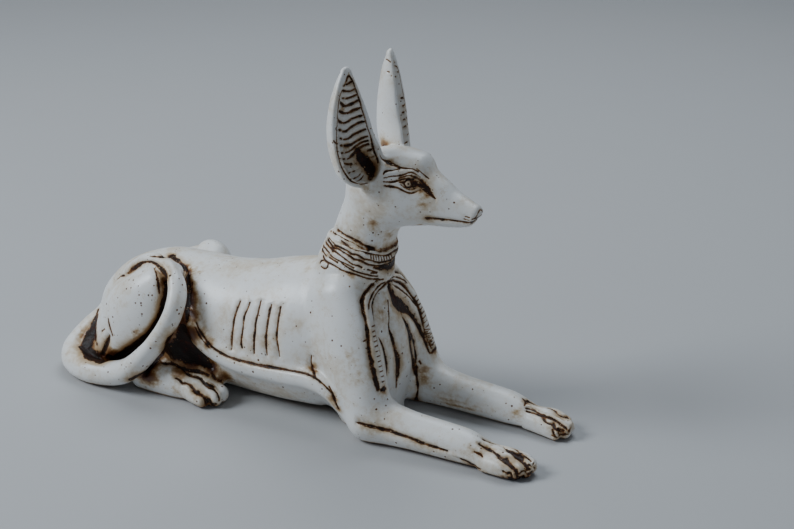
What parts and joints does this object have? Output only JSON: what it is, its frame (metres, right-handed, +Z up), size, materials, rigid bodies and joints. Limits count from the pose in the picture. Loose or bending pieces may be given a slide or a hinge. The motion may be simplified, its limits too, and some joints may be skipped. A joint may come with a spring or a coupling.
{
  "type": "recumbent jackal figurine",
  "caption": "One-piece cast figurine of a lying jackal with its head up, tall ribbed ears, a wound collar with two ribbons, outstretched fore legs and its tail looped round the near thigh.",
  "frame": {"origin": "on the ground plane, at the middle of the figure's footprint in length and in width", "axes": "+X towards the nose and the fore paws, +Z up, and -Y to the side that carries the tail loop"},
  "size_m": [0.3239, 0.1085, 0.215],
  "materials": {
    "painted_cast": "satin ivory paint with a brown wash left in the carving, over a cast body with small dark pinholes"
  },
  "bodies": {
    "root": {"jackal_figure": "painted_cast"}
  },
  "joints": []
}
